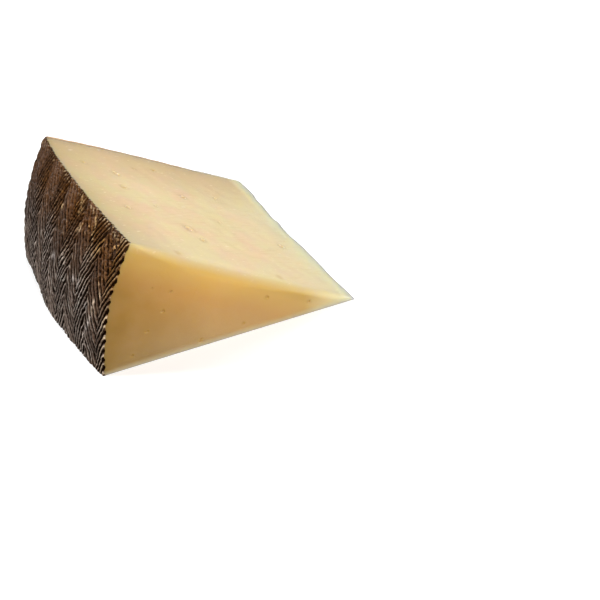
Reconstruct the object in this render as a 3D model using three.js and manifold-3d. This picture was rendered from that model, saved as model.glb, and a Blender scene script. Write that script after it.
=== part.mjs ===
// A wedge of a pressed sheep's-milk cheese, lying on one of its two radial cuts.
// It is about a twelfth of a barrel-sided wheel. Slices were taken off its front,
// so the front is bare paste, and its back is the wheel's flat, domed face.
// The round side keeps the print of the plaited grass belt it was pressed in.
// Millimetres, +Z up. While it is shaped, the wheel's axis is the line x = 0, z = 0:
// the wedge's thin edge lies on it, y runs from the front cut to the back face,
// and the rind faces -X.

import * as THREE from 'three';
import { mergeVertices } from 'three/addons/utils/BufferGeometryUtils.js';
import Module from 'manifold-3d';

// The wheel and what is left of it.
const WHEEL_RADIUS = 105.9;        // at the belly, where the wheel is fattest
const WEDGE_ANGLE = THREE.MathUtils.degToRad(30.2);
const WEDGE_LENGTH = 96.2;         // front cut to back face, along the thin edge
const BELLY_Y = 34.7;              // the belly, behind the front cut
const BACK_RIM_DROP = 6.8;         // how much less the radius is at the back rim
const LOWER_BACK_PRESS = 0.017;    // share of the radius pressed in at the back, by the lower cut
const PRESS_START_Y = 48;          // where that begins and where it is at its full depth
const PRESS_FULL_Y = 74;
const BACK_DOME = 5.3;             // how far the back face falls from its centre to its rim
const RIM_ROUND = 4;               // rounding between the side and the back face

// The front cut isn't square to the axis.
const FRONT_CUT_TURN = -0.0274;    // mm along y for each mm along x
const FRONT_CUT_LEAN = 0.0322;     // mm along y for each mm of height
const THIN_EDGE_ROUND = 0.2;       // softened thin edge

// The belt's print: bands of slanted strands, one band leaning against the next.
const BAND_WIDTH = 8.77;
const FIRST_SEAM_Y = 8.2;          // the first seam between bands behind the front cut
const STRAND_PITCH = 4.4;          // from strand to strand, round the wheel
const STRAND_DEPTH = 1;            // groove depth between two strands
const RISING_SLOPE = 1.75;         // mm round the wheel for each mm along y
const FALLING_SLOPE = -2.6;        // the same, in the bands between
const STRAND_SECTION = [1, 0.15, 0, 0.3];       // depth across a strand, from its groove
const BAND_STATIONS = [0, 0.14, 0.5, 0.86];     // where a band's strands take a vertex
const SEAM_DEPTH = 0.6;            // how deep the seam is, as a share of STRAND_DEPTH
const PRINT_FADE = 0.45;           // how much of the depth is gone at the back

// Small eyes in the paste: [distance from the thin edge, distance behind the front, diameter].
const TOP_EYES = [
  [76, 70.3, 2.6], [78.8, 57.5, 2.2], [48.1, 62.6, 2.4], [62.5, 31.3, 3.4],
  [86.9, 38.2, 2.2], [60.5, 23.3, 2.0], [14.5, 36, 2.2], [33.5, 5.5, 1.8],
];
// [distance from the thin edge, height, diameter] on the front cut.
const FRONT_EYES = [
  [75.4, 27.8, 2.4], [79, 20.3, 1.8], [85.7, 13.8, 1.6], [37.4, 13, 2.2], [20, 5.5, 3.2], [64.8, 6, 1.6],
];
const EYE_SQUASH = 0.6;            // an eye is flatter than it is long

const OVERRUN = 10;                // how far the uncut shapes reach past the cuts

const wasm = await Module();
wasm.setup();

function toSolid(geometry) {
  const bare = geometry.clone();
  bare.deleteAttribute('normal');
  bare.deleteAttribute('uv');
  const merged = mergeVertices(bare, 1e-4);
  return new wasm.Manifold(new wasm.Mesh({
    numProp: 3,
    vertProperties: Float32Array.from(merged.attributes.position.array),
    triVerts: Uint32Array.from(merged.index.array),
  }));
}

function toGeometry(solid) {
  const mesh = solid.getMesh();
  const geometry = new THREE.BufferGeometry();
  geometry.setAttribute('position', new THREE.BufferAttribute(mesh.vertProperties, 3));
  geometry.setIndex(new THREE.BufferAttribute(mesh.triVerts, 1));
  geometry.computeVertexNormals();
  return geometry;
}

function sideRadius(y) {
  const share = (y - BELLY_Y) / (WEDGE_LENGTH - BELLY_Y);
  return WHEEL_RADIUS - BACK_RIM_DROP * share * share;
}

// What is left of the radius where the lower part of the back was pressed in.
function pressedShare(y, angle) {
  const back = THREE.MathUtils.smoothstep(y, PRESS_START_Y, PRESS_FULL_Y);
  const low = Math.max(1 - angle / WEDGE_ANGLE, 0);
  return 1 - LOWER_BACK_PRESS * back * low ** 1.5;
}

// How far a strand has climbed round the wheel at y, from where it crosses the first seam.
function strandClimb(y) {
  const bands = (y - FIRST_SEAM_Y) / BAND_WIDTH;
  const pairs = Math.floor(bands / 2);
  const within = (bands - 2 * pairs) * BAND_WIDTH;
  const rising = Math.min(within, BAND_WIDTH);
  const falling = Math.max(within - BAND_WIDTH, 0);
  const pairClimb = (RISING_SLOPE + FALLING_SLOPE) * BAND_WIDTH;
  return pairs * pairClimb + rising * RISING_SLOPE + falling * FALLING_SLOPE;
}

// The wheel's outline from the front round to the centre of the back face. Each
// point has the band it is in (null on the back) and its depth along that band.
function wheelProfile() {
  const rimY = WEDGE_LENGTH - BACK_DOME - RIM_ROUND;
  const points = [];
  const firstBand = Math.floor((-OVERRUN - FIRST_SEAM_Y) / BAND_WIDTH);
  for (let band = firstBand; ; band += 1) {
    for (const station of BAND_STATIONS) {
      const y = FIRST_SEAM_Y + (band + station) * BAND_WIDTH;
      if (y > rimY) {
        return points.concat(backProfile(rimY, band));
      }
      points.push({ radius: sideRadius(y), y, band, onSeam: station === 0 });
    }
  }
}

function backProfile(rimY, band) {
  const centreRadius = sideRadius(rimY) - RIM_ROUND;
  const points = [];
  for (const turn of [0, 30, 60, 90]) {
    const angle = THREE.MathUtils.degToRad(turn);
    points.push({
      radius: centreRadius + RIM_ROUND * Math.cos(angle),
      y: rimY + RIM_ROUND * Math.sin(angle),
      band,
      onSeam: true,
    });
  }
  for (const share of [0.75, 0.5, 0.25]) {
    points.push({
      radius: centreRadius * share,
      y: WEDGE_LENGTH - BACK_DOME * share ** 3,
      band: null,
      onSeam: false,
    });
  }
  return points;
}

function reliefDepth(point, level) {
  if (point.band === null) {
    return 0;
  }
  const depth = STRAND_DEPTH * (1 - PRINT_FADE * Math.max(point.y / WEDGE_LENGTH, 0));
  if (point.onSeam) {
    return depth * SEAM_DEPTH;
  }
  const steps = STRAND_SECTION.length;
  const halfPitchShift = (point.band & 1) * (steps / 2);
  return depth * STRAND_SECTION[(level + halfPitchShift) % steps];
}

// A closed sector of the wheel, wider than the wedge, whose mesh lines follow the strands.
function wheelSector() {
  const profile = wheelProfile();
  const climbs = profile.map((point) => strandClimb(Math.min(point.y, WEDGE_LENGTH - BACK_DOME)));
  const arc = WHEEL_RADIUS * WEDGE_ANGLE;
  const lowest = -Math.max(...climbs) - OVERRUN;
  const highest = arc - Math.min(...climbs) + OVERRUN;
  const steps = STRAND_SECTION.length;
  const columns = Math.ceil((highest - lowest) / STRAND_PITCH) * steps;

  const positions = [0, profile[0].y, 0, 0, WEDGE_LENGTH, 0];
  const frontCentre = 0;
  const backCentre = 1;
  profile.forEach((point, row) => {
    for (let level = 0; level <= columns; level += 1) {
      const along = lowest + (level * STRAND_PITCH) / steps + climbs[row];
      const angle = along / WHEEL_RADIUS;
      const radius = (point.radius - reliefDepth(point, level)) * pressedShare(point.y, angle);
      positions.push(-radius * Math.cos(angle), point.y, radius * Math.sin(angle));
    }
  });

  const vertex = (row, level) => 2 + row * (columns + 1) + level;
  const lastRow = profile.length - 1;
  const faces = [];
  for (let row = 0; row < lastRow; row += 1) {
    for (let level = 0; level < columns; level += 1) {
      const [a, b] = [vertex(row, level), vertex(row + 1, level)];
      const [c, d] = [vertex(row + 1, level + 1), vertex(row, level + 1)];
      faces.push(a, c, b, a, d, c);
    }
    faces.push(frontCentre, vertex(row, 0), vertex(row + 1, 0));
    faces.push(frontCentre, vertex(row + 1, columns), vertex(row, columns));
  }
  for (let level = 0; level < columns; level += 1) {
    faces.push(frontCentre, vertex(0, level + 1), vertex(0, level));
    faces.push(backCentre, vertex(lastRow, level), vertex(lastRow, level + 1));
  }
  faces.push(frontCentre, vertex(lastRow, 0), backCentre);
  faces.push(frontCentre, backCentre, vertex(lastRow, columns));

  const geometry = new THREE.BufferGeometry();
  geometry.setAttribute('position', new THREE.Float32BufferAttribute(positions, 3));
  geometry.setIndex(faces);
  return geometry;
}

// What the knife leaves: a prism on the two radial cuts, with the front cut's slant.
function knifePrism() {
  const reach = (WHEEL_RADIUS + OVERRUN) / Math.cos(WEDGE_ANGLE);
  const outline = new THREE.Shape();
  const halfAngle = WEDGE_ANGLE / 2;
  const setBack = THIN_EDGE_ROUND / Math.sin(halfAngle);
  outline.absarc(
    -setBack * Math.cos(halfAngle),
    setBack * Math.sin(halfAngle),
    THIN_EDGE_ROUND,
    -Math.PI / 2,
    Math.PI / 2 - WEDGE_ANGLE,
    false,
  );
  outline.lineTo(-reach * Math.cos(WEDGE_ANGLE), reach * Math.sin(WEDGE_ANGLE));
  outline.lineTo(-reach * Math.cos(WEDGE_ANGLE), 0);
  const geometry = new THREE.ExtrudeGeometry(outline, {
    depth: WEDGE_LENGTH + OVERRUN,
    curveSegments: 4,
    bevelEnabled: false,
  });
  geometry.translate(0, 0, -WEDGE_LENGTH - OVERRUN);
  geometry.rotateX(Math.PI / 2);
  const slant = new THREE.Matrix4();
  slant.elements[1] = FRONT_CUT_TURN;
  slant.elements[9] = FRONT_CUT_LEAN;
  return geometry.applyMatrix4(slant);
}

function eye(diameter, position, outward) {
  const geometry = new THREE.IcosahedronGeometry(diameter / 2, 1);
  geometry.scale(1, 1, EYE_SQUASH);
  const turn = new THREE.Quaternion().setFromUnitVectors(new THREE.Vector3(0, 0, 1), outward);
  geometry.applyQuaternion(turn);
  geometry.translate(position.x, position.y, position.z);
  return geometry;
}

function eyes() {
  const topNormal = new THREE.Vector3(Math.sin(WEDGE_ANGLE), 0, Math.cos(WEDGE_ANGLE));
  const frontNormal = new THREE.Vector3(FRONT_CUT_TURN, -1, FRONT_CUT_LEAN).normalize();
  const onTop = TOP_EYES.map(([distance, y, diameter]) => eye(
    diameter,
    new THREE.Vector3(-distance * Math.cos(WEDGE_ANGLE), y, distance * Math.sin(WEDGE_ANGLE)),
    topNormal,
  ));
  const onFront = FRONT_EYES.map(([distance, height, diameter]) => eye(
    diameter,
    new THREE.Vector3(-distance, height * FRONT_CUT_LEAN - distance * FRONT_CUT_TURN, height),
    frontNormal,
  ));
  return [...onTop, ...onFront];
}

function wedgeGeometry() {
  let wedge = toSolid(wheelSector()).intersect(toSolid(knifePrism()));
  for (const hollow of eyes()) {
    wedge = wedge.subtract(toSolid(hollow));
  }
  return toGeometry(wedge);
}

const paste = new THREE.MeshStandardMaterial({ color: '#E8CFA2', roughness: 0.55, metalness: 0 });

const wedge = new THREE.Mesh(wedgeGeometry(), paste);
wedge.name = 'manchego_wedge';

// The part's origin is the middle of its footprint, on the surface it rests on.
wedge.geometry.computeBoundingBox();
const box = wedge.geometry.boundingBox;
wedge.position.set(-(box.min.x + box.max.x) / 2, -(box.min.y + box.max.y) / 2, -box.min.z);

const cheese = new THREE.Group();
cheese.add(wedge);

export default cheese;
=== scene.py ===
"""A wedge of manchego lying on one of its two radial cuts.

The wheel's axis is horizontal, along Y, and the wedge's thin edge lies on it. Along the
wheel, y is in millimetres behind the front cut. Round the wheel, a place is given as an
arc in millimetres at the belly, from the cut that it lies on up to the sloping cut.
"""

import math

import bpy
import numpy as np
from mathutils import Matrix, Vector


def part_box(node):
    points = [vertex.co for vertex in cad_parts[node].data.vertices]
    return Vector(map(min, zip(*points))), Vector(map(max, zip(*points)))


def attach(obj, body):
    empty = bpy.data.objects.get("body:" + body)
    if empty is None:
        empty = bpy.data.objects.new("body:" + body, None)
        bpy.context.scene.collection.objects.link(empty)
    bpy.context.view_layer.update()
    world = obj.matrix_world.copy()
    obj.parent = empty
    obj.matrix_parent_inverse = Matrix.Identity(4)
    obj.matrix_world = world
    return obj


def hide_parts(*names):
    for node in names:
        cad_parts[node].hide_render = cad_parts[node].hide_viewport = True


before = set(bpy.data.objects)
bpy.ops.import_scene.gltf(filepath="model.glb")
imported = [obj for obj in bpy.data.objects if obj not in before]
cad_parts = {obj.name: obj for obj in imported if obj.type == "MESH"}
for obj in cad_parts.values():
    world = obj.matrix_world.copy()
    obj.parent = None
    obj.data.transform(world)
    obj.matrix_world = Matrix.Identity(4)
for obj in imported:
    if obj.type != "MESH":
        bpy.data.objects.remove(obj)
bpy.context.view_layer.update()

NODE = "manchego_wedge"
MM = 0.001

# The wheel and the cuts, in millimetres, as in the solid.
WHEEL_RADIUS = 105.9
WEDGE_ANGLE = math.radians(30.2)
WEDGE_LENGTH = 96.2
BELLY_Y = 34.7
BACK_RIM_DROP = 6.8
LOWER_BACK_PRESS = 0.017
PRESS_POWER = 1.5
PRESS_START_Y = 48.0
PRESS_FULL_Y = 74.0
BACK_DOME = 5.3
BACK_DOME_POWER = 3
RIM_ROUND = 4.0
FRONT_CUT_TURN = -0.0274
FRONT_CUT_LEAN = 0.0322
THIN_EDGE_ROUND = 0.2
RIM_Y = WEDGE_LENGTH - BACK_DOME - RIM_ROUND

# The plaited belt's print on the side.
BAND_WIDTH = 8.77
FIRST_SEAM_Y = 8.2
STRAND_PITCH = 4.4
STRAND_DEPTH = 0.95
RISING_SLOPE = 1.75
FALLING_SLOPE = -2.6
CREST_POWER = 1.2
CREST_SPREAD = 0.3
SEAM_DIP = 0.45
SEAM_DIP_REACH = 0.7
STRAND_SEED = 21
STRAND_CELLS = (32, 128)

# Where the print is fainter: from one y or arc to another, with the share left at each.
FAINT_BEHIND = (35.0, 80.0, 1.0, 0.5)
FAINT_AT_LOWER_CUT = (0.0, 5.0, 0.5, 1.0)
FAINT_AT_FRONT_CUT = (3.5, 7.0, 0.75, 1.0)

# Layers of random hills on the wheel: height and size in mm, and seed.
SEAM_WANDER = ((0.8, 20.0, 11), (0.14, 2.2, 12))
STRAND_WANDER = ((0.5, 9.0, 13), (0.35, 1.8, 16))
RIND_LUMPS = ((0.25, 6.0, 14), (0.2, 1.6, 15))
BOARD_LINE_WANDER = ((1.5, 30.0, 31),)
BOARD_LUMPS = ((0.2, 9.0, 32), (0.08, 4.0, 33))

# The press board's lines on the wheel's flat face. Their width is a share of their pitch.
BOARD_LINE_PITCH = 9.0
BOARD_LINE_WIDTH = 0.16
BOARD_LINE_DEPTH = 0.3
BOARD_FADE = 8.0

# Places where the rind is rubbed pale, some of them painted glints, over a few crests each:
# distance behind the front cut, arc, length and width, in mm.
PALE_AND_GLINT_SPOTS = (
    (21.8, 27.6, 1.6, 1.1), (13.6, 22.4, 2.0, 1.0), (10.5, 17.5, 5.0, 0.6), (36.2, 29.6, 1.6, 0.9),
    (34.6, 27.8, 2.2, 0.7), (44.4, 25.6, 1.3, 1.0), (88.0, 33.0, 1.6, 1.2), (87.6, 29.0, 1.6, 1.2),
    (35.0, 52.4, 2.6, 0.8), (33.4, 50.6, 2.2, 0.6), (22.6, 52.0, 3.0, 0.6), (14.7, 44.8, 1.2, 0.8),
    (6.6, 53.6, 0.9, 0.7), (6.2, 30.8, 1.4, 0.7), (20.2, 46.0, 2.6, 0.5), (16.6, 40.5, 1.6, 0.6),
    (26.0, 26.5, 1.2, 0.8), (30.4, 44.5, 1.6, 0.6), (9.0, 26.0, 3.4, 0.6), (47.0, 45.0, 1.2, 0.7),
)

# The rind is a thin skin that follows the print and stands a little over both cuts.
SKIN = 0.7
BACK_SKIN = 0.3
SKIN_LIP = 0.1

# Random hills repeat after this many.
NOISE_CELLS = 64

# Points this close together, in mm, are one point of a seam.
SEAM_GAP = 0.002


def clear_selection():
    if bpy.context.object and bpy.context.object.mode != "OBJECT":
        bpy.ops.object.mode_set(mode="OBJECT")
    bpy.ops.object.select_all(action="DESELECT")


def smooth_step(value, low, high):
    share = np.clip((value - low) / (high - low), 0.0, 1.0)
    return share * share * (3.0 - 2.0 * share)


def smooth_between(value, low, high, at_low, at_high):
    """Goes smoothly from at_low to at_high as the value goes from low to high."""
    return at_low + (at_high - at_low) * smooth_step(value, low, high)


def soft_noise(across, along, size, seed):
    """Smooth random hills between -1 and 1, about size apart."""
    lattice = np.random.default_rng(seed).uniform(-1.0, 1.0, (NOISE_CELLS, NOISE_CELLS))
    cells = [np.asarray(across) / size, np.asarray(along) / size]
    corner = [np.floor(c).astype(int) for c in cells]
    blend = [smooth_step(c - k, 0.0, 1.0) for c, k in zip(cells, corner)]
    total = 0.0
    for i in (0, 1):
        for j in (0, 1):
            weight = np.where(i, blend[0], 1 - blend[0]) * np.where(j, blend[1], 1 - blend[1])
            cell = (corner[0] + i) % NOISE_CELLS, (corner[1] + j) % NOISE_CELLS
            total = total + weight * lattice[cell]
    return total


def add_hills(value, across, along, layers):
    """Adds layers of random hills to a value. A layer is a height, a size and a seed."""
    for height, size, seed in layers:
        value = value + height * soft_noise(across, along, size, seed)
    return value


# ---------------------------------------------------------------- the wheel's form


def side_radius(y):
    share = (y - BELLY_Y) / (WEDGE_LENGTH - BELLY_Y)
    return WHEEL_RADIUS - BACK_RIM_DROP * share * share


BACK_RADIUS = side_radius(RIM_Y) - RIM_ROUND


def press_lower_back(x, y, z):
    """Draws the lower part of the wheel's back in towards the axis."""
    back = smooth_step(y, PRESS_START_Y, PRESS_FULL_Y)
    low = np.maximum(1.0 - np.arctan2(z, -x) / WEDGE_ANGLE, 0.0)
    left = 1.0 - LOWER_BACK_PRESS * back * low ** PRESS_POWER
    return x * left, y, z * left


def back_y(radius):
    return WEDGE_LENGTH - BACK_DOME * (radius / BACK_RADIUS) ** BACK_DOME_POWER


def front_y(x, z):
    return FRONT_CUT_TURN * x + FRONT_CUT_LEAN * z


def strand_climb(y):
    """How far a strand has climbed round the wheel at y, from the first seam."""
    bands = (y - FIRST_SEAM_Y) / BAND_WIDTH
    pairs = np.floor(bands / 2)
    within = (bands - 2 * pairs) * BAND_WIDTH
    rising = np.minimum(within, BAND_WIDTH) * RISING_SLOPE
    falling = np.maximum(within - BAND_WIDTH, 0.0) * FALLING_SLOPE
    return pairs * (RISING_SLOPE + FALLING_SLOPE) * BAND_WIDTH + rising + falling


def belt_print(y, arc):
    """What the belt left at a place on the side: the depth in mm, the distance across the
    strands in mm and the place along the wheel from which the bands are counted, in mm."""
    y_wandering = add_hills(y, y, arc, SEAM_WANDER)
    across = add_hills(arc - strand_climb(y_wandering), y, arc, STRAND_WANDER)
    bands = (y_wandering - FIRST_SEAM_Y) / BAND_WIDTH
    band = np.floor(bands).astype(int)
    strands = across / STRAND_PITCH + 0.5 * (band % 2)
    own = np.random.default_rng(STRAND_SEED).uniform(0.0, 1.0, STRAND_CELLS)
    own = own[band % STRAND_CELLS[0], np.floor(strands).astype(int) % STRAND_CELLS[1]]

    # Across a strand: a rounded crest between two grooves. Its ends dip under the next band.
    crest = np.abs(np.sin(np.pi * strands)) ** CREST_POWER
    share = bands - band
    from_seam = np.minimum(share, 1.0 - share) * BAND_WIDTH
    crest = crest * (1.0 - SEAM_DIP * np.exp(-((from_seam / SEAM_DIP_REACH) ** 2)))

    # The print fades towards the back, where the belt pressed less, and beside the cuts.
    strength = smooth_between(y, *FAINT_BEHIND)
    strength = strength * smooth_between(arc, *FAINT_AT_LOWER_CUT)
    strength = strength * smooth_between(y, *FAINT_AT_FRONT_CUT)
    lumps = add_hills(0.0, y, arc, RIND_LUMPS)
    crest = crest * (1.0 - CREST_SPREAD + CREST_SPREAD * own)
    depth = strength * STRAND_DEPTH * (1.0 - crest) + lumps
    return np.maximum(depth, 0.0), across, y_wandering


def pale_and_glint(y, arc):
    """How far a place on the side is pale, from 0 to 1: rubbed pale, and at some spots a painted
    glint. A spot leans across the strands of its band, so that it is broken up by their grooves."""
    band = np.floor((y - FIRST_SEAM_Y) / BAND_WIDTH)
    slope = np.where(band % 2 == 0, FALLING_SLOPE, RISING_SLOPE)
    slope_length = np.hypot(1.0, slope)
    pale = np.zeros(np.shape(y))
    for spot_y, spot_arc, length, width in PALE_AND_GLINT_SPOTS:
        along = (y - spot_y + slope * (arc - spot_arc)) / slope_length / length
        across = (arc - spot_arc - slope * (y - spot_y)) / slope_length / width
        pale = np.maximum(pale, np.exp(-along * along - across * across))
    return pale


def board_print(radius, arc_angle):
    """The shallow marks of the press board and cloth on the wheel's flat face, in mm."""
    x = -radius * np.cos(arc_angle)
    z = radius * np.sin(arc_angle)
    from_line = (add_hills(x, x, z, BOARD_LINE_WANDER) / BOARD_LINE_PITCH) % 1.0 - 0.5
    lines = np.exp(-(from_line / BOARD_LINE_WIDTH) ** 2)
    print_depth = add_hills(BOARD_LINE_DEPTH * lines, x, z, BOARD_LUMPS)
    return print_depth * smooth_step(BACK_RADIUS - radius, 0.0, BOARD_FADE)


def to_frame(x, y, z):
    """Millimetres from the wheel's axis and front cut to the shared frame, in metres."""
    setback = THIN_EDGE_ROUND / math.sin(WEDGE_ANGLE / 2) - THIN_EDGE_ROUND
    low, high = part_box(NODE)
    axis_x = high.x + setback * math.cos(WEDGE_ANGLE / 2) * MM
    return np.stack([axis_x + x * MM, low.y + y * MM, np.broadcast_to(z, np.shape(x)) * MM], axis=-1)


def read_points(piece):
    points = np.empty(len(piece.data.vertices) * 3)
    piece.data.vertices.foreach_get("co", points)
    return points.reshape(-1, 3)


def write_points(piece, points):
    piece.data.vertices.foreach_set("co", np.ascontiguousarray(points, dtype=float).ravel())
    piece.data.update()


def face_outwards(piece):
    """Closes the seams of a piece and turns its faces outward."""
    clear_selection()
    piece.select_set(True)
    bpy.context.view_layer.objects.active = piece
    bpy.ops.object.mode_set(mode="EDIT")
    bpy.ops.mesh.select_all(action="SELECT")
    bpy.ops.mesh.remove_doubles(threshold=SEAM_GAP * MM)
    bpy.ops.mesh.normals_make_consistent(inside=False)
    bpy.ops.object.mode_set(mode="OBJECT")


# ---------------------------------------------------------------- the rind

SIDE_ROWS = 236
ROUND_ROWS = 12
BACK_ROWS = 60
RIND_ROWS = SIDE_ROWS + ROUND_ROWS + BACK_ROWS
RIND_COLUMNS = 146
RIM_PRINT_POWER = 0.7
RIND_CREASE = math.radians(60)

# One millimetre on the rind's two UV maps.
MAP_MM = 0.01


def skin_surface(row, column, inner):
    """A point of the skin's outside, or of its inside where inner is true. row and column
    run from 0 to 1: row from the front cut over the side and the rim down to the thin
    edge, column from the lower cut to the upper one. Also gives its place across the
    strands and along the wheel, its place on the side, and how far it is side."""
    angle = column * (WEDGE_ANGLE + SKIN_LIP / WHEEL_RADIUS)
    arc = angle * WHEEL_RADIUS
    rows = row * RIND_ROWS
    on_side = np.clip(rows / SIDE_ROWS, 0.0, 1.0)
    on_round = np.clip((rows - SIDE_ROWS) / ROUND_ROWS, 0.0, 1.0)
    on_back = np.clip((rows - SIDE_ROWS - ROUND_ROWS) / BACK_ROWS, 0.0, 1.0)

    first_y = front_y(-WHEEL_RADIUS * np.cos(angle), WHEEL_RADIUS * np.sin(angle)) - SKIN_LIP
    side_y = first_y + (RIM_Y - first_y) * on_side
    turn = on_round * math.pi / 2
    below = np.where(inner, SKIN + (BACK_SKIN - SKIN) * np.sin(turn) ** 2, 0.0)
    depth, across, y_wandering = belt_print(side_y, arc)
    depth = depth * np.cos(turn) ** RIM_PRINT_POWER + below
    radius = side_radius(side_y) - RIM_ROUND * (1.0 - np.cos(turn)) - depth * np.cos(turn)
    y = side_y + (RIM_ROUND - depth) * np.sin(turn)

    last_radius = THIN_EDGE_ROUND * 3
    back_radius = BACK_RADIUS + (last_radius - BACK_RADIUS) * on_back
    back_depth = board_print(back_radius, angle)
    is_back = on_back > 0
    radius = np.where(is_back, back_radius, radius)
    y = np.where(is_back, back_y(back_radius) - back_depth - below, y)
    place = to_frame(*press_lower_back(-radius * np.cos(angle), y, radius * np.sin(angle)))
    along_strands = np.stack([across, y_wandering], axis=-1)
    side_place = np.stack([side_y - first_y, arc], axis=-1)
    return place, along_strands, side_place, np.where(is_back, 0.0, np.cos(turn))


def make_rind():
    clear_selection()
    bpy.ops.mesh.primitive_grid_add(x_subdivisions=RIND_ROWS, y_subdivisions=RIND_COLUMNS, size=1)
    rind = bpy.context.object
    rind.name = "rind_skin"
    bpy.ops.object.mode_set(mode="EDIT")
    bpy.ops.mesh.select_all(action="SELECT")
    bpy.ops.mesh.extrude_region_move()
    bpy.ops.object.mode_set(mode="OBJECT")

    sheet = read_points(rind)
    outer = np.empty(len(sheet), dtype=bool)
    rind.data.vertices.foreach_get("select", outer)
    row, column = sheet[:, 0] + 0.5, sheet[:, 1] + 0.5
    points, along_strands, side_place, on_side = skin_surface(row, column, ~outer)
    write_points(rind, points)
    rubbed = pale_and_glint(*side_place.T)
    for name, values in (("on_side", on_side), ("pale_and_glint", rubbed)):
        rind.data.attributes.new(name, "FLOAT", "POINT").data.foreach_set("value", values)
    corners = np.empty(len(rind.data.loops), dtype=int)
    rind.data.loops.foreach_get("vertex_index", corners)
    for name, values in (("along_strands", along_strands), ("side_place", side_place)):
        layer = rind.data.uv_layers.new(name=name)
        layer.data.foreach_set("uv", (values[corners] * MAP_MM).astype(np.float32).ravel())
    face_outwards(rind)
    bpy.ops.object.shade_smooth_by_angle(angle=RIND_CREASE)
    return rind


# ---------------------------------------------------------------- the paste

PASTE_ALONG = 190
PASTE_ROUND = 112
PASTE_DEEP = 84
PASTE_CREASE = math.radians(40)

# Shares of the unit box within this of 0 or 1 are on a face.
ON_FACE = 1e-6

# How far the paste lies under the rind's outside, and how much further away from the cuts.
UNDER_SKIN = 0.35
UNDER_BACK_SKIN = 0.15
FURTHER_UNDER = 0.15

# The soft upper front edge, in mm. Its round grows from the thin edge inwards and shrinks
# at the rind: from one distance from the thin edge to another, with its share at each.
# Between its ends the edge sags.
FRONT_EDGE_ROUND = 7.0
FRONT_EDGE_POWER = 0.8
ROUNDER_INWARDS = (10.0, 60.0, 0.35, 1.0)
SHARPER_AT_RIND = (70.0, 104.0, 1.0, 0.15)
FRONT_EDGE_SAG = 1.3
SAG_POWER = 0.8
SAG_LENGTH = 100.0
SAG_REACH = 9.0

# The cuts' softening begins and ends over these distances from the thin edge.
CLEAR_OF_NOSE = (2.0, 9.0)
UP_TO_RIND = (99.0, 104.0)

# Layers of the knife's waves: height and size in mm, and seed. They sink the cuts a little
# and die out over a few millimetres at the cuts' edges.
TOP_WAVES = ((0.22, 16.0, 41), (0.08, 4.0, 42))
FRONT_WAVES = ((0.2, 14.0, 43), (0.06, 4.0, 44))
WAVE_SINK = 0.2
WAVE_REACH = 8.0
WAVE_REACH_AT_FLOOR = 3.0

# The thin edge has crumbled, but not at the front, and its far end lies further out.
CRUMBLED_AWAY = 0.4
THIN_EDGE_CRUMBS = ((0.4, 5.0, 45),)
CRUMBS_REACH = 4.0
CRUMBLED_FROM = (5.0, 15.0)
FURTHER_OUT = 1.4
FURTHER_OUT_FROM = (55.0, 96.0)
FURTHER_OUT_REACH = 50.0

# Eyes are hollows with uneven outlines. Depth, width and opening are shares of their size.
EYE_SEED = 51
EYE_SINK = 0.25
EYE_LUMPS = 0.22
EYE_WIDTHS = (0.7, 0.95)
TOP_EYE_OPENING = 0.85
TOP_EYE_DEPTH = 0.4
FRONT_EYE_DEPTH = 0.44
EYE_SHADE_REACH = 0.6

# Eyes in the sloping cut: distance from the thin edge, distance behind the front, size in mm.
TOP_EYES = (
    (89.3, 73.3, 2.8), (76.0, 70.3, 3.6), (78.8, 57.5, 3.2), (48.1, 62.6, 3.4), (62.5, 31.3, 4.6),
    (86.9, 38.2, 3.0), (60.5, 23.3, 3.0), (14.5, 36.0, 3.2), (33.5, 6.5, 2.6), (51.2, 84.0, 2.2),
    (62.1, 80.9, 2.0), (80.5, 7.5, 2.4), (40.0, 45.0, 1.8), (70.0, 46.0, 1.6), (28.0, 70.0, 1.8),
)
# Eyes in the front cut: distance from the thin edge, height, size in mm.
FRONT_EYES = (
    (75.4, 27.4, 1.5), (79.0, 20.1, 1.8), (85.7, 13.4, 1.7), (37.4, 12.6, 1.7), (20.0, 5.2, 1.7),
    (47.2, 4.4, 1.4), (64.8, 2.6, 1.6), (82.5, 31.2, 1.0), (92.0, 5.0, 1.5),
)


def subdivide_along(piece, axis, cuts):
    """Cuts every edge of a box that runs along one axis."""
    bpy.ops.object.mode_set(mode="OBJECT")
    points = read_points(piece)
    for edge in piece.data.edges:
        span = np.abs(points[edge.vertices[0]] - points[edge.vertices[1]])
        edge.select = bool(span.argmax() == axis)
    bpy.ops.object.mode_set(mode="EDIT")
    bpy.ops.mesh.subdivide(number_cuts=cuts)
    bpy.ops.mesh.select_all(action="DESELECT")


def round_edge(depth_a, depth_b, radius, power=1.0):
    """Bends the two sheets that meet at an edge onto a round of that radius. The depths
    are the distances in from the two faces, one of which is 0 on either sheet. A power
    below 1 makes the round run out softly into both faces."""
    near = (depth_a < radius) & (depth_b < radius)
    turn = math.pi / 4 * np.clip(1.0 - (depth_b - depth_a) / radius, 0.0, 2.0)
    rounded_a = radius * (1.0 - np.maximum(np.cos(turn), 0.0) ** power)
    rounded_b = radius * (1.0 - np.sin(turn) ** power)
    return np.where(near, rounded_a, depth_a), np.where(near, rounded_b, depth_b)


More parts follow.
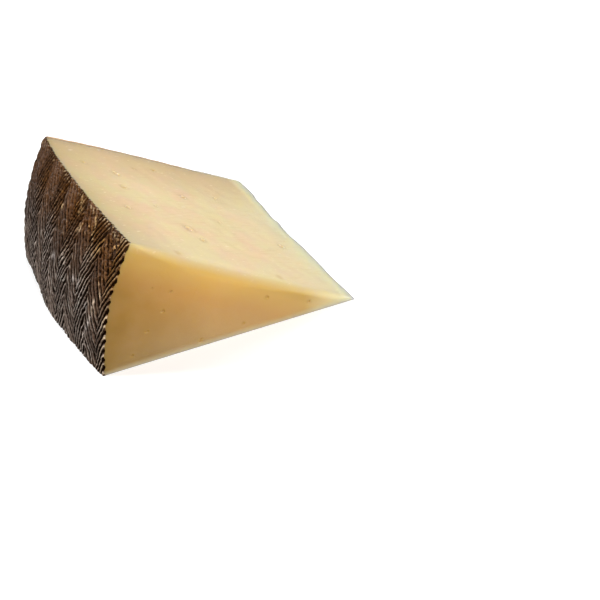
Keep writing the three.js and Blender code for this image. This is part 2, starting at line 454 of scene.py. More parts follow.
def paste_surface(deep, along, up):
    """A point of the paste, from a unit box: deep from the thin edge to the rind, along
    from the front cut to the back, and up from the lower cut to the upper one."""
    half = WEDGE_ANGLE / 2
    setback = THIN_EDGE_ROUND / math.sin(half)
    nose_turn = -math.pi / 2 + up * (math.pi - WEDGE_ANGLE)
    nose_x = -setback * math.cos(half) + THIN_EDGE_ROUND * np.cos(nose_turn)
    nose_z = setback * math.sin(half) + THIN_EDGE_ROUND * np.sin(nose_turn)
    angle = up * WEDGE_ANGLE
    arc = angle * WHEEL_RADIUS

    # The rim between side and back is rounded under the skin.
    side_depth, back_depth = round_edge((1 - deep) * WHEEL_RADIUS, (1 - along) * RIM_Y, RIM_ROUND)
    deep_rounded = 1 - side_depth / WHEEL_RADIUS
    first_y = front_y(-WHEEL_RADIUS * np.cos(angle), WHEEL_RADIUS * np.sin(angle))
    side_y = np.clip(first_y + (RIM_Y + RIM_ROUND - first_y) * (1 - back_depth / RIM_Y), 0, RIM_Y)
    depth = belt_print(side_y, arc)[0]
    at_cut = (up < ON_FACE) | (up > 1 - ON_FACE) | (along < ON_FACE)
    under = UNDER_SKIN + np.where(at_cut, 0.0, FURTHER_UNDER)
    outer_radius = side_radius(side_y) - (depth + under)
    x = nose_x + (-outer_radius * np.cos(angle) - nose_x) * deep_rounded
    z = nose_z + (outer_radius * np.sin(angle) - nose_z) * deep_rounded
    radius = np.hypot(x, z)
    first_y = front_y(x, z)
    last_y = back_y(np.minimum(radius, BACK_RADIUS)) - UNDER_BACK_SKIN
    last_y = last_y - board_print(radius, np.arctan2(z, -x))
    y = first_y + (last_y - first_y) * (1 - back_depth / RIM_Y)
    return press_lower_back(x, y, z)


def soften_cuts(x, y, z, along, up):
    """Gives the cuts the gentle waves and soft edges that a knife leaves."""
    top_normal = (math.sin(WEDGE_ANGLE), math.cos(WEDGE_ANGLE))
    radius = np.hypot(x, z)
    on_top = up > 1 - ON_FACE
    on_front = along < ON_FACE
    below_top = np.maximum(-(x * top_normal[0] + z * top_normal[1]), 0.0)
    behind_front = np.maximum(y - front_y(x, z), 0.0)
    hold = smooth_step(radius, *CLEAR_OF_NOSE) * (1.0 - smooth_step(radius, *UP_TO_RIND))

    # The upper front edge is rounded, most at its middle, and sags between its ends.
    near = on_top | on_front
    edge_round = FRONT_EDGE_ROUND * smooth_between(radius, *ROUNDER_INWARDS)
    edge_round = edge_round * smooth_between(radius, *SHARPER_AT_RIND)
    rounded_top, rounded_front = round_edge(below_top, behind_front, edge_round, FRONT_EDGE_POWER)
    sag = FRONT_EDGE_SAG * np.sin(np.pi * np.clip(radius / SAG_LENGTH, 0, 1)) ** SAG_POWER
    sag = sag * np.exp(-((behind_front / SAG_REACH) ** 2))
    sag = sag * (1.0 - smooth_step(below_top, 0.0, SAG_REACH))
    down = np.where(near, (rounded_top - below_top + sag) * hold, 0.0)
    back = np.where(near, (rounded_front - behind_front) * hold, 0.0)

    crumbled = add_hills(CRUMBLED_AWAY, y, 0 * y, THIN_EDGE_CRUMBS)
    crumbled = crumbled * (1.0 - smooth_step(radius, 0.0, CRUMBS_REACH))
    further_out = FURTHER_OUT * smooth_step(y, *FURTHER_OUT_FROM)
    further_out = further_out * (1.0 - smooth_step(radius, 0.0, FURTHER_OUT_REACH))
    x = x + further_out - crumbled * smooth_step(y, *CRUMBLED_FROM)

    # The waves die out at the edges, so that the cuts meet without a crease.
    wave_top = add_hills(0.0, radius, y, TOP_WAVES) + WAVE_SINK
    wave_top = wave_top * smooth_step(behind_front, 0.0, WAVE_REACH)
    wave_front = add_hills(0.0, radius, z, FRONT_WAVES) + WAVE_SINK
    wave_front = wave_front * smooth_step(below_top, 0.0, WAVE_REACH)
    wave_front = wave_front * smooth_step(z, 0.0, WAVE_REACH_AT_FLOOR)
    down = down + np.where(on_top, wave_top * hold, 0.0)
    back = back + np.where(on_front, wave_front * hold, 0.0)
    return x - down * top_normal[0], y + back, np.maximum(z - down * top_normal[1], 0.0)


def make_eye(size, depth, place, outward, rng):
    """A small flattened hollow, open at the cut. depth is a share of its size."""
    bpy.ops.mesh.primitive_ico_sphere_add(subdivisions=3, radius=0.5)
    eye = bpy.context.object
    points = read_points(eye)
    layer = (EYE_LUMPS, 1.0, rng.integers(99))
    lumps = add_hills(1.0, points[:, 0] * 3 + points[:, 2], points[:, 1] * 3, (layer,))
    points = points * lumps[:, None] * np.array([1.0, rng.uniform(*EYE_WIDTHS), depth])
    spin = rng.uniform(0, math.pi)
    turned = points.copy()
    turned[:, 0] = points[:, 0] * math.cos(spin) - points[:, 1] * math.sin(spin)
    turned[:, 1] = points[:, 0] * math.sin(spin) + points[:, 1] * math.cos(spin)
    aim = Vector((0, 0, 1)).rotation_difference(outward).to_matrix()
    write_points(eye, (turned * size * MM) @ np.array(aim).T + place)
    return eye


def cut_eyes(paste):
    """Hollows the eyes out of the two cuts that show."""
    rng = np.random.default_rng(EYE_SEED)
    top = Vector((math.sin(WEDGE_ANGLE), 0, math.cos(WEDGE_ANGLE)))
    front = Vector((0, -1, 0))
    eyes = []
    centres = []
    clear_selection()
    for distance, y, size in TOP_EYES:
        x = -distance * math.cos(WEDGE_ANGLE) - EYE_SINK * top.x
        z = distance * math.sin(WEDGE_ANGLE) - EYE_SINK * top.z
        centres.append((to_frame(x, y, z), size))
        eyes.append(make_eye(TOP_EYE_OPENING * size, TOP_EYE_DEPTH, centres[-1][0], top, rng))
    for distance, height, size in FRONT_EYES:
        y = float(front_y(-distance, height)) + EYE_SINK
        centres.append((to_frame(-distance, y, height), size))
        eyes.append(make_eye(size, FRONT_EYE_DEPTH, centres[-1][0], front, rng))
    clear_selection()
    for eye in eyes:
        eye.select_set(True)
    bpy.context.view_layer.objects.active = eyes[0]
    bpy.ops.object.join()
    hollows = bpy.context.object
    clear_selection()
    paste.select_set(True)
    bpy.context.view_layer.objects.active = paste
    cutter = paste.modifiers.new("eyes", "BOOLEAN")
    cutter.operation = "DIFFERENCE"
    cutter.solver = "EXACT"
    cutter.object = hollows
    bpy.ops.object.modifier_apply(modifier=cutter.name)
    bpy.data.objects.remove(hollows)

    # How near each point is to an eye, for the painted shade, a deeper yellow, in and round it.
    points = read_points(paste)
    near_eye = np.zeros(len(points))
    for place, size in centres:
        away = np.linalg.norm(points - place, axis=1) / (EYE_SHADE_REACH * size * MM)
        near_eye = np.maximum(near_eye, np.exp(-away ** 2))
    paste.data.attributes.new("near_eye", "FLOAT", "POINT").data.foreach_set("value", near_eye)


def make_paste():
    clear_selection()
    bpy.ops.mesh.primitive_cube_add(size=1)
    paste = bpy.context.object
    paste.name = "paste_body"
    bpy.ops.object.mode_set(mode="EDIT")
    bpy.ops.mesh.select_mode(type="EDGE")
    bpy.ops.mesh.select_all(action="DESELECT")
    for axis, cuts in ((0, PASTE_DEEP), (1, PASTE_ALONG), (2, PASTE_ROUND)):
        subdivide_along(paste, axis, cuts)
    bpy.ops.object.mode_set(mode="OBJECT")

    deep, along, up = (read_points(paste) + 0.5).T
    x, y, z = paste_surface(deep, along, up)
    x, y, z = soften_cuts(x, y, z, along, up)
    write_points(paste, to_frame(x, y, z))
    face_outwards(paste)
    cut_eyes(paste)
    bpy.ops.object.shade_smooth_by_angle(angle=PASTE_CREASE)
    return paste


# ---------------------------------------------------------------- materials

# The way the knife went over the sloping cut, from +X towards +Y.
KNIFE_DIRECTION = math.radians(25)

# Colours of the paste.
IVORY = "#ECD9A8"
ROSY_IVORY = "#F0D1AA"
PALE_BY_THIN_EDGE = "#E9E0B4"
KNIFE_STREAK = "#DDBF85"
DRY_AT_BACK = "#CFAF82"
DRY_AT_RIND = "#AF985E"
SHADE_BY_FRONT_EDGE = "#D2C8A6"
TOP_EYE_SHADE = "#C4A566"
KNIFE_TEAR = "#FCEBCC"
GLOW_UNDER_TOP_EDGE = "#D6B15F"
GOLDEN_SHADE = "#CD9B55"
PAINTED_SHADE_LOW = "#A6926E"
BROWN_AND_SHADE_AT_RIND = "#86641E"
GOLDEN_MOTTLE = "#D0AA78"
FRONT_EYE_SHADE = "#B38C3C"
FRONT_THIN_EDGE_LIGHT = "#EBDCB0"
FLOOR_BOUNCE_LIGHT = "#DDCFB0"
PAINTED_EDGE_SHADE = "#EEEEEC"
LIT_THROUGH = "#FDE9B8"

# Colours of the rind. Low on the side it is grey, towards the sloping cut brown.
STRAND_GREY = "#5B4433"
STRAND_BROWN = "#643C12"
STRAND_DARK = "#2B1C12"
PAINTED_SHADE_FAR_BACK = "#33231A"
CREST_GREY = "#F0DED0"
CREST_BROWN = "#A87C44"
GLINT_GREY = "#E6DCCF"
GLINT_BROWN = "#CF9E62"
SPOT_GREY = "#F6E8E0"
SPOT_BROWN = "#F0C488"
GREY_BLOOM_AND_SHEEN = "#A29084"
BARED_PASTE = "#E2C79E"
GROOVE_SHADE = "#130903"
FLAT_FACE = "#7A6048"
FLAT_FACE_PALE = "#957A5C"
FLAT_FACE_BY_CUT = "#C8AA88"

# Width and length of the fibres in a strand, in mm.
FIBRE_WIDTH = 0.5
FIBRE_LENGTH = 7.0


def colour(hex_value):
    """An sRGB hex colour as linear red, green, blue and alpha."""
    parts = [int(hex_value[i:i + 2], 16) / 255 for i in (1, 3, 5)]
    linear = [p / 12.92 if p <= 0.04045 else ((p + 0.055) / 1.055) ** 2.4 for p in parts]
    return (*linear, 1.0)


def add_node(tree, kind, parts=(), **settings):
    """Adds a shader node with its settings and gives the socket of its first output. The
    parts go to its inputs in order, or by name in a dictionary, and each is a socket to
    link, a hex colour or a plain value."""
    made = tree.nodes.new("ShaderNode" + kind)
    for name, value in settings.items():
        setattr(made, name, value)
    shown = [socket for socket in made.inputs if socket.enabled]
    named = parts if isinstance(parts, dict) else dict(enumerate(parts))
    for key, part in named.items():
        socket = made.inputs[key] if isinstance(key, str) else shown[key]
        if isinstance(part, bpy.types.NodeSocket):
            tree.links.new(part, socket)
        else:
            socket.default_value = colour(part) if isinstance(part, str) else part
    return next(socket for socket in made.outputs if socket.enabled)


def new_material(name):
    material = bpy.data.materials.new(name)
    material.use_nodes = True
    return material, material.node_tree, material.node_tree.nodes["Principled BSDF"]


def pressed_cheese_paste():
    """Cut paste of a pressed sheep's-milk cheese: waxy, slightly translucent ivory. It is
    drier and darker towards the rind. The front cut is painted golden, as painted shade with
    warm bounced light."""
    material, tree, shader = new_material("pressed_cheese_paste")
    place = add_node(tree, "TexCoord").node.outputs["Object"]
    place_x, place_y, place_z = add_node(tree, "SeparateXYZ", (place,)).node.outputs

    # Depths below the sloping cut and behind the front cut, in metres.
    axis = to_frame(0.0, 0.0, 0.0)
    top_normal = (math.sin(WEDGE_ANGLE), 0.0, math.cos(WEDGE_ANGLE))
    front_normal = (FRONT_CUT_TURN, -1.0, FRONT_CUT_LEAN)
    from_axis = add_node(tree, "VectorMath", (place, tuple(axis)), operation="SUBTRACT")
    above_top = add_node(tree, "VectorMath", (from_axis, top_normal), operation="DOT_PRODUCT")
    before_front = add_node(tree, "VectorMath", (from_axis, front_normal), operation="DOT_PRODUCT")

    # The sloping cut: pale, with rosy clouds and fine streaks from the knife.
    clouds = add_node(tree, "TexNoise", {"Vector": place, "Scale": 1 / (14 * MM), "Detail": 3.0})
    rosy = add_node(tree, "MapRange", (clouds, 0.38, 0.62))
    ivory = add_node(tree, "Mix", (rosy, IVORY, ROSY_IVORY), data_type="RGBA")
    near_edge = add_node(tree, "MapRange", (place_x, 20 * MM, 50 * MM, 0.0, 0.7))
    ivory = add_node(tree, "Mix", (near_edge, ivory, PALE_BY_THIN_EDGE), data_type="RGBA")
    streak_place = add_node(tree, "Mapping",
                            {"Vector": place, "Rotation": (0, 0, KNIFE_DIRECTION),
                             "Scale": (9 * MM, 1.1 * MM, 9 * MM)}, vector_type="TEXTURE")
    streaks = add_node(tree, "TexNoise", {"Vector": streak_place, "Scale": 1.0, "Detail": 3.0})
    streaked = add_node(tree, "MapRange", (streaks, 0.53, 0.75, 0.0, 0.35))
    ivory = add_node(tree, "Mix", (streaked, ivory, KNIFE_STREAK), data_type="RGBA")
    near_back = add_node(tree, "MapRange", (place_y, 12 * MM, 46 * MM, 0.0, 0.78))
    dry = add_node(tree, "Mix", (near_back, ivory, DRY_AT_BACK), data_type="RGBA")
    near_rind = add_node(tree, "MapRange", (place_x, -12 * MM, -50 * MM, 0.0, 0.7))
    dry = add_node(tree, "Mix", (near_rind, dry, DRY_AT_RIND), data_type="RGBA")
    # Painted shade: the sloping cut is painted greyer towards its rounded front edge.
    shade_by_front_edge = add_node(tree, "MapRange", (before_front, -20 * MM, -4 * MM, 0.0, 0.4))
    dry = add_node(tree, "Mix", (shade_by_front_edge, dry, SHADE_BY_FRONT_EDGE), data_type="RGBA")

    # Painted shade: in and round the eyes' hollows the paste is painted a darker, deeper yellow.
    near_eye = add_node(tree, "Attribute", attribute_name="near_eye").node.outputs["Fac"]
    eye_shade = add_node(tree, "MapRange", (near_eye, 0.12, 0.6, 0.0, 0.42))
    dry = add_node(tree, "Mix", (eye_shade, dry, TOP_EYE_SHADE), data_type="RGBA")

    # Small pale tears that the knife left.
    tear_place = add_node(tree, "Mapping",
                          {"Vector": place, "Rotation": (0, 0, KNIFE_DIRECTION),
                           "Scale": (3.2 * MM, 0.9 * MM, 3.2 * MM)}, vector_type="TEXTURE")
    tears = add_node(tree, "TexNoise", {"Vector": tear_place, "Scale": 1.0, "Detail": 1.0})
    torn = add_node(tree, "MapRange", (tears, 0.67, 0.76, 0.0, 0.5))
    dry = add_node(tree, "Mix", (torn, dry, KNIFE_TEAR), data_type="RGBA")

    # The front cut, painted golden as painted shade with warm bounced light: paler under its
    # upper edge, as painted light coming through, and greyer low down, as painted shade.
    mottle = add_node(tree, "TexNoise", {"Vector": place, "Scale": 1 / (11 * MM), "Detail": 2.0})
    deep = add_node(tree, "MapRange", (above_top, -3 * MM, -14 * MM))
    shaded_front = add_node(tree, "Mix", (deep, GLOW_UNDER_TOP_EDGE, GOLDEN_SHADE), data_type="RGBA")
    # Painted shade: low down, most towards the rind, the front cut is painted greyer.
    low = add_node(tree, "MapRange", (place_z, 24 * MM, 2 * MM, 0.0, 0.8))
    leftward = add_node(tree, "MapRange", (place_x, 20 * MM, -30 * MM, 0.4, 1.0))
    low = add_node(tree, "Math", (low, leftward), operation="MULTIPLY")
    shaded_front = add_node(tree, "Mix", (low, shaded_front, PAINTED_SHADE_LOW), data_type="RGBA")
    # Browner towards the rind: partly the paste drying, partly painted shade.
    rind_brown_and_shade = add_node(tree, "MapRange", (place_x, -5 * MM, -50 * MM, 0.0, 0.88))
    lower = add_node(tree, "MapRange", (above_top, -2 * MM, -20 * MM, 0.15, 1.0))
    greyer = add_node(tree, "MapRange", (place_z, 18 * MM, 3 * MM, 1.0, 0.85))
    rind_brown_and_shade = add_node(tree, "Math", (rind_brown_and_shade, lower), operation="MULTIPLY")
    rind_brown_and_shade = add_node(tree, "Math", (rind_brown_and_shade, greyer), operation="MULTIPLY")
    shaded_front = add_node(tree, "Mix", (rind_brown_and_shade, shaded_front, BROWN_AND_SHADE_AT_RIND), data_type="RGBA")
    mottled = add_node(tree, "MapRange", (mottle, 0.35, 0.7, 0.0, 0.15))
    shaded_front = add_node(tree, "Mix", (mottled, shaded_front, GOLDEN_MOTTLE), data_type="RGBA")
    # Painted shade in and round the eyes in the front cut too.
    shaded_front = add_node(tree, "Mix", (eye_shade, shaded_front, FRONT_EYE_SHADE), data_type="RGBA")
    # Painted light through the thin edge: the front cut is painted paler towards it.
    thin_edge_light = add_node(tree, "MapRange", (place_x, 31 * MM, 48 * MM))
    shaded_front = add_node(tree, "Mix", (thin_edge_light, shaded_front, FRONT_THIN_EDGE_LIGHT), data_type="RGBA")
    # Painted light bounced from the floor: paler at the foot of the front cut.
    floor_bounce = add_node(tree, "MapRange", (place_z, 2 * MM, 0.0, 0.0, 0.5))
    shaded_front = add_node(tree, "Mix", (floor_bounce, shaded_front, FLOOR_BOUNCE_LIGHT), data_type="RGBA")

    # The front cut's colour goes round its upper edge and a little way into the underside.
    lean = add_node(tree, "Math", (above_top, before_front), operation="SUBTRACT")
    under = add_node(tree, "MapRange", (lean, 2 * MM, -3.5 * MM))
    behind = add_node(tree, "MapRange", (before_front, -8 * MM, -4 * MM))
    front = add_node(tree, "Math", (under, behind), operation="MULTIPLY")
    paste = add_node(tree, "Mix", (front, dry, shaded_front), data_type="RGBA")

    # Painted shade: the rounded edge between them is painted a little darker.
    above_edge = add_node(tree, "MapRange", (lean, 4 * MM, 0.5 * MM))
    below_edge = add_node(tree, "MapRange", (lean, -6.5 * MM, -2.2 * MM))
    on_edge = add_node(tree, "Math", (above_edge, below_edge), operation="MULTIPLY")
    on_edge = add_node(tree, "Math", (on_edge, behind), operation="MULTIPLY")
    clear_of_rind = add_node(tree, "MapRange", (place_x, -50 * MM, -12 * MM, 0.1, 1.0))
    on_edge = add_node(tree, "Math", (on_edge, clear_of_rind), operation="MULTIPLY")
    with_edge_shade = add_node(tree, "Mix", (on_edge, paste, PAINTED_EDGE_SHADE), data_type="RGBA", blend_type="MULTIPLY")

    # Painted light: the thin edge is painted paler, as if lit through.
    thin_edge = add_node(tree, "MapRange", (place_x, 47 * MM, 51.5 * MM, 0.0, 0.8))
    with_edge_shade = add_node(tree, "Mix", (thin_edge, with_edge_shade, LIT_THROUGH), data_type="RGBA")
    tree.links.new(with_edge_shade, shader.inputs["Base Color"])

    grain = add_node(tree, "TexNoise", {"Vector": place, "Scale": 1 / (1.2 * MM), "Detail": 4.0})
    bump = add_node(tree, "Bump", {"Strength": 0.25, "Distance": 0.25 * MM, "Height": grain})
    tree.links.new(bump, shader.inputs["Normal"])
    shader.inputs["Roughness"].default_value = 0.5
    shader.inputs["IOR"].default_value = 1.45
    shader.inputs["Subsurface Weight"].default_value = 1.0
    shader.inputs["Subsurface Radius"].default_value = (1.0, 0.88, 0.4)
    shader.inputs["Subsurface Scale"].default_value = 8 * MM
    return material


def plait_printed_rind():
    """Dry, oiled rind: brown on the strands, and greyed or rubbed pale along their crests, with
    painted highlights and glints there. The grooves are painted near black, as shade. It is
    browner towards the upper cut."""
    material, tree, shader = new_material("plait_printed_rind")
    place = add_node(tree, "TexCoord").node.outputs["Object"]
    on_side = add_node(tree, "Attribute", attribute_name="on_side").node.outputs["Fac"]
    strand_map = add_node(tree, "UVMap", uv_map="along_strands")
    over_strands, over_bands = add_node(tree, "SeparateXYZ", (strand_map,)).node.outputs[:2]
    side_map = add_node(tree, "UVMap", uv_map="side_place")
    behind_cut, round_wheel = add_node(tree, "SeparateXYZ", (side_map,)).node.outputs[:2]

    # Bands and strands, counted as in the relief. Every second band is odd.
    bands = add_node(tree, "MapRange",
                     (over_bands, FIRST_SEAM_Y * MAP_MM, (FIRST_SEAM_Y + BAND_WIDTH) * MAP_MM),
                     clamp=False)
    band = add_node(tree, "Math", (bands,), operation="FLOOR")
    odd = add_node(tree, "Math", (band, 2.0), operation="FLOORED_MODULO")
    shift = add_node(tree, "Math", (odd, 0.5), operation="MULTIPLY")
    strands = add_node(tree, "Math", (over_strands, 1 / (STRAND_PITCH * MAP_MM), shift),
                       operation="MULTIPLY_ADD")
    strand = add_node(tree, "Math", (strands,), operation="FLOOR")
    strand_name = add_node(tree, "CombineXYZ", {"X": strand, "Y": band})
    own = add_node(tree, "TexWhiteNoise", {"Vector": strand_name}, noise_dimensions="2D")
    from_groove = add_node(tree, "Math", (strands, 0.5), operation="PINGPONG")

    # The height of the surface for the colours: crests, fibres along them, and crumbs.
    fibre_size = (FIBRE_WIDTH * MAP_MM, FIBRE_LENGTH * MAP_MM, 1.0)
    fibre_place = add_node(tree, "Mapping", {"Vector": strand_map, "Scale": fibre_size},
                           vector_type="TEXTURE")
    fibres = add_node(tree, "TexNoise", {"Vector": fibre_place, "Scale": 1.0, "Detail": 3.0},
                      noise_dimensions="2D")
    crumbs = add_node(tree, "TexNoise", {"Vector": place, "Scale": 1 / (1 * MM), "Detail": 2.0})
    height = add_node(tree, "Math", (fibres, 0.9, -0.9), operation="MULTIPLY_ADD")
    height = add_node(tree, "Math", (crumbs, 0.9, height), operation="MULTIPLY_ADD")
    height = add_node(tree, "Math", (from_groove, 2.0, height), operation="MULTIPLY_ADD")

    # Towards the upper cut the print is worn, and crumbs show more than strands.
    worn_above = add_node(tree, "MapRange", (round_wheel, 30 * MAP_MM, 48 * MAP_MM, 0.0, 0.75))
    worn_behind = add_node(tree, "MapRange", (behind_cut, 16 * MAP_MM, 28 * MAP_MM))
    worn_even = add_node(tree, "MapRange", (odd, 1.0, 0.0, 0.0, 0.9))
    worn = add_node(tree, "Math", (worn_behind, worn_even), operation="MAXIMUM")
    worn = add_node(tree, "Math", (worn_above, worn), operation="MULTIPLY")
    crumbled = add_node(tree, "MapRange", (crumbs, 0.36, 0.66, 0.1, 1.1))
    calmer = add_node(tree, "MapRange", (behind_cut, 14 * MAP_MM, 32 * MAP_MM, 0.0, 0.6))
    crumbled = add_node(tree, "Mix", (calmer, crumbled, 0.6))
    height = add_node(tree, "Mix", (worn, height, crumbled))
    filled = add_node(tree, "MapRange", (odd, 0.0, 1.0, 0.1, -0.02))
    filled = add_node(tree, "Math", (height, filled), operation="ADD")

    # Grey-brown low on the side, golden brown towards the upper cut.
    patches = add_node(tree, "TexNoise", {"Vector": place, "Scale": 1 / (16 * MM), "Detail": 2.0})
    higher = add_node(tree, "MapRange", (round_wheel, 22 * MAP_MM, 54 * MAP_MM, -0.45, 0.7))
    beside_front = add_node(tree, "MapRange", (behind_cut, 22 * MAP_MM, 0.0, 0.0, 0.4))
    higher = add_node(tree, "Math", (higher, beside_front), operation="ADD")
    browner = add_node(tree, "Math", (patches, higher), operation="ADD")
    browner = add_node(tree, "MapRange", (browner, 0.2, 0.9))
    body = add_node(tree, "Mix", (browner, STRAND_GREY, STRAND_BROWN), data_type="RGBA")
    darker = add_node(tree, "MapRange", (own, 0.0, 1.0, 0.0, 0.5))
    body = add_node(tree, "Mix", (darker, body, STRAND_DARK), data_type="RGBA")
    # Painted shade: far back, by the rim, the side is painted darker.
    far_back_shade = add_node(tree, "MapRange", (behind_cut, 60 * MAP_MM, 90 * MAP_MM, 0.0, 0.25))
    body = add_node(tree, "Mix", (far_back_shade, body, PAINTED_SHADE_FAR_BACK), data_type="RGBA")

    # Crests greyed or rubbed pale, with painted highlights and glints, strongest on the strands that
    # lie across the light.
    rubbing = add_node(tree, "TexNoise", {"Vector": place, "Scale": 1 / (6 * MM), "Detail": 3.0})
    rubbed = add_node(tree, "MapRange", (rubbing, 0.38, 0.58, 0.3, 1.0))
    pale_and_lit_crest = add_node(tree, "Mix", (browner, CREST_GREY, CREST_BROWN), data_type="RGBA")
    crest = add_node(tree, "MapRange", (height, 0.7, 1.0))
    across_light = add_node(tree, "MapRange", (round_wheel, 32 * MAP_MM, 14 * MAP_MM, 0.35, 0.9))
    across_light = add_node(tree, "Mix", (odd, across_light, 1.2))
    chosen = add_node(tree, "MapRange", (own, 1.0, 0.0, 0.35, 1.1))
    pale_and_highlight = add_node(tree, "Math", (crest, rubbed), operation="MULTIPLY")
    pale_and_highlight = add_node(tree, "Math", (pale_and_highlight, across_light), operation="MULTIPLY")
    pale_and_highlight = add_node(tree, "Math", (pale_and_highlight, chosen), operation="MULTIPLY")
    skin = add_node(tree, "Mix", (pale_and_highlight, body, pale_and_lit_crest), data_type="RGBA")
    glints = add_node(tree, "TexNoise", {"Vector": place, "Scale": 1 / (4 * MM), "Detail": 1.0})
    glint = add_node(tree, "MapRange", (glints, 0.6, 0.68))
    glint = add_node(tree, "Math", (glint, crest), operation="MULTIPLY")
    near_front = add_node(tree, "MapRange", (behind_cut, 50 * MAP_MM, 30 * MAP_MM, 0.25, 1.0))
    glint = add_node(tree, "Math", (glint, near_front), operation="MULTIPLY")
    glinting = add_node(tree, "Mix", (browner, GLINT_GREY, GLINT_BROWN), data_type="RGBA")
    skin = add_node(tree, "Mix", (glint, skin, glinting), data_type="RGBA")
    # Spots rubbed pale, some of them painted glints.
    spots = add_node(tree, "Attribute", attribute_name="pale_and_glint").node.outputs["Fac"]
    broken = add_node(tree, "MapRange", (height, 0.2, 0.6))
    spots = add_node(tree, "Math", (spots, broken), operation="MULTIPLY")
    spotted = add_node(tree, "Mix", (browner, SPOT_GREY, SPOT_BROWN), data_type="RGBA")
    skin = add_node(tree, "Mix", (spots, skin, spotted), data_type="RGBA")

    # Low down, away from the front cut, the raised parts are grey: partly a bloom, partly painted
    # highlight.
    grey_low = add_node(tree, "MapRange", (round_wheel, 26 * MAP_MM, 4 * MAP_MM, 0.0, 0.6))
    grey_behind = add_node(tree, "MapRange", (behind_cut, 3 * MAP_MM, 25 * MAP_MM))
    bloom_and_sheen = add_node(tree, "Math", (grey_low, grey_behind), operation="MULTIPLY")
    raised = add_node(tree, "MapRange", (height, 0.3, 0.9, 0.3, 1.0))
    bloom_and_sheen = add_node(tree, "Math", (bloom_and_sheen, raised), operation="MULTIPLY")
    skin = add_node(tree, "Mix", (bloom_and_sheen, skin, GREY_BLOOM_AND_SHEEN), data_type="RGBA")

    # The knife bared cream paste on the crests beside both cuts.
    by_front = add_node(tree, "MapRange", (behind_cut, 3 * MAP_MM, 0.5 * MAP_MM))
    lower_down = add_node(tree, "MapRange", (round_wheel, 42 * MAP_MM, 20 * MAP_MM, 0.35, 1.0))
    by_front = add_node(tree, "Math", (by_front, rubbed), operation="MULTIPLY")
    by_front = add_node(tree, "Math", (by_front, lower_down), operation="MULTIPLY")
    by_front = add_node(tree, "Math", (by_front, crest), operation="MULTIPLY")
    by_top = add_node(tree, "MapRange", (round_wheel, 53 * MAP_MM, 55 * MAP_MM))
    ragged = add_node(tree, "MapRange", (crumbs, 0.44, 0.56))
    by_top = add_node(tree, "Math", (by_top, ragged), operation="MULTIPLY")
    bared = add_node(tree, "Math", (by_front, by_top), operation="MAXIMUM")
    bared = add_node(tree, "Math", (bared, crest), operation="MULTIPLY")
    skin = add_node(tree, "Mix", (bared, skin, BARED_PASTE), data_type="RGBA")
    # Painted shade: the grooves are painted near black, a little less by the upper cut.
    groove_shade = add_node(tree, "MapRange", (filled, 0.72, 0.36))
    shallower = add_node(tree, "MapRange", (round_wheel, 49 * MAP_MM, 55 * MAP_MM, 1.0, 0.75))
    groove_shade = add_node(tree, "Math", (groove_shade, shallower), operation="MULTIPLY")
    skin = add_node(tree, "Mix", (groove_shade, skin, GROOVE_SHADE), data_type="RGBA")

    # The wheel's flat face: an even, paler brown.
    clouded = add_node(tree, "MapRange", (patches, 0.35, 0.65))
    faced = add_node(tree, "Mix", (clouded, FLAT_FACE, FLAT_FACE_PALE), data_type="RGBA")
    below_cut = add_node(tree, "MapRange", (round_wheel, 53.5 * MAP_MM, 55.5 * MAP_MM))
    faced = add_node(tree, "Mix", (below_cut, faced, FLAT_FACE_BY_CUT), data_type="RGBA")
    skin = add_node(tree, "Mix", (on_side, faced, skin), data_type="RGBA")
    tree.links.new(skin, shader.inputs["Base Color"])
    relief = add_node(tree, "Mix", (on_side, crumbs, height))
    bump = add_node(tree, "Bump", {"Strength": 0.9, "Distance": 0.4 * MM, "Height": relief})
    tree.links.new(bump, shader.inputs["Normal"])
    shine = add_node(tree, "MapRange", (groove_shade, 0.0, 1.0, 0.4, 0.0))
    duller = add_node(tree, "MapRange", (round_wheel, 25 * MAP_MM, 50 * MAP_MM, 1.0, 0.55))
    shine = add_node(tree, "Math", (shine, duller), operation="MULTIPLY")
    tree.links.new(shine, shader.inputs["Specular IOR Level"])
    shader.inputs["Roughness"].default_value = 0.38
    shader.inputs["IOR"].default_value = 1.47
    return material


def studio_floor():
    """Plain white sweep that glows a little, so that shadows stay faint."""
    material, tree, shader = new_material("studio_floor")
    shader.inputs["Base Color"].default_value = colour("#F4F4F4")
    shader.inputs["Roughness"].default_value = 0.9
    shader.inputs["Specular IOR Level"].default_value = 0.1
    shader.inputs["Emission Color"].default_value = colour("#FFFFFF")
    shader.inputs["Emission Strength"].default_value = FLOOR_GLOW
    return material


# ---------------------------------------------------------------- studio

# The camera's place is in mm, as to_frame takes it, and so are its lens and sensor.
CAMERA_PLACE = (-289.55, -476.77, 398.07)
CAMERA_AZIMUTH = math.radians(-29.09)
CAMERA_ELEVATION = math.radians(35.57)
CAMERA_LENS = 107.64
SENSOR_WIDTH = 36.0

# Metres, except for the strengths of the glow.
FLOOR_SIZE = 6
FLOOR_GLOW = 0.24
SKY_GLOW_BELOW = 0.18
SKY_GLOW_ABOVE = 0.24

# Lights: name, place and size in metres, and power in watts. All point at the wedge.
LIGHTS = (
    ("key", (0.35, 0.75, 1.1), 0.9, 6),
    ("left", (-0.85, 0.5, 0.75), 0.35, 13),
    ("fill", (0.2, -1.3, 0.7), 0.8, 24),
)


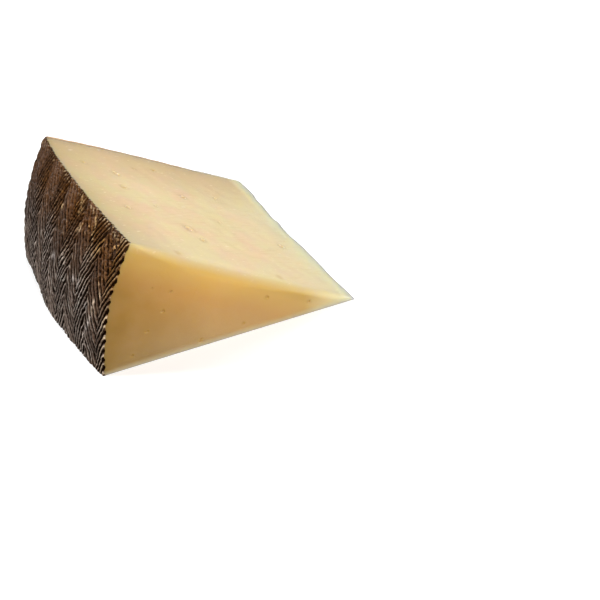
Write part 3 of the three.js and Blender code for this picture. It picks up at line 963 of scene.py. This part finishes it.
def make_camera():
    """Stands where the photograph's camera stood, by the wedge's corners and curves."""
    camera = bpy.data.objects.new("camera", bpy.data.cameras.new("camera"))
    bpy.context.scene.collection.objects.link(camera)
    camera.location = to_frame(*CAMERA_PLACE)
    back = Vector((
        math.sin(CAMERA_AZIMUTH) * math.cos(CAMERA_ELEVATION),
        -math.cos(CAMERA_AZIMUTH) * math.cos(CAMERA_ELEVATION),
        math.sin(CAMERA_ELEVATION),
    ))
    camera.rotation_euler = (-back).to_track_quat("-Z", "Y").to_euler()
    camera.data.lens = CAMERA_LENS
    camera.data.sensor_width = SENSOR_WIDTH
    camera.data.clip_start = 0.01
    camera.data.clip_end = 20.0
    bpy.context.scene.camera = camera


def add_area_light(name, place, size, power):
    light = bpy.data.objects.new(name, bpy.data.lights.new(name, "AREA"))
    bpy.context.scene.collection.objects.link(light)
    light.data.size = size
    light.data.energy = power
    light.location = place
    light.rotation_euler = (-Vector(place)).to_track_quat("-Z", "Y").to_euler()


def make_studio():
    clear_selection()
    bpy.ops.mesh.primitive_plane_add(size=FLOOR_SIZE)
    floor = bpy.context.object
    floor.name = "floor"
    floor.data.materials.append(studio_floor())
    floor.visible_diffuse = False
    floor.visible_glossy = False
    world = bpy.data.worlds.new("studio_world")
    bpy.context.scene.world = world
    world.use_nodes = True
    sky = world.node_tree.nodes["Background"]
    sky.inputs["Color"].default_value = colour("#FFFFFF")
    direction = add_node(world.node_tree, "TexCoord")
    height = add_node(world.node_tree, "SeparateXYZ", (direction,)).node.outputs["Z"]
    glow = add_node(world.node_tree, "MapRange", (height, -0.1, 0.3, SKY_GLOW_BELOW, SKY_GLOW_ABOVE))
    world.node_tree.links.new(glow, sky.inputs["Strength"])
    for light in LIGHTS:
        add_area_light(*light)
    bpy.context.scene.view_settings.view_transform = "Standard"


make_camera()
make_studio()

rind = make_rind()
rind.data.materials.append(plait_printed_rind())
paste = make_paste()
paste.data.materials.append(pressed_cheese_paste())

for piece, slot in ((rind, "rind"), (paste, "paste")):
    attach(piece, "root")
    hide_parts(NODE)
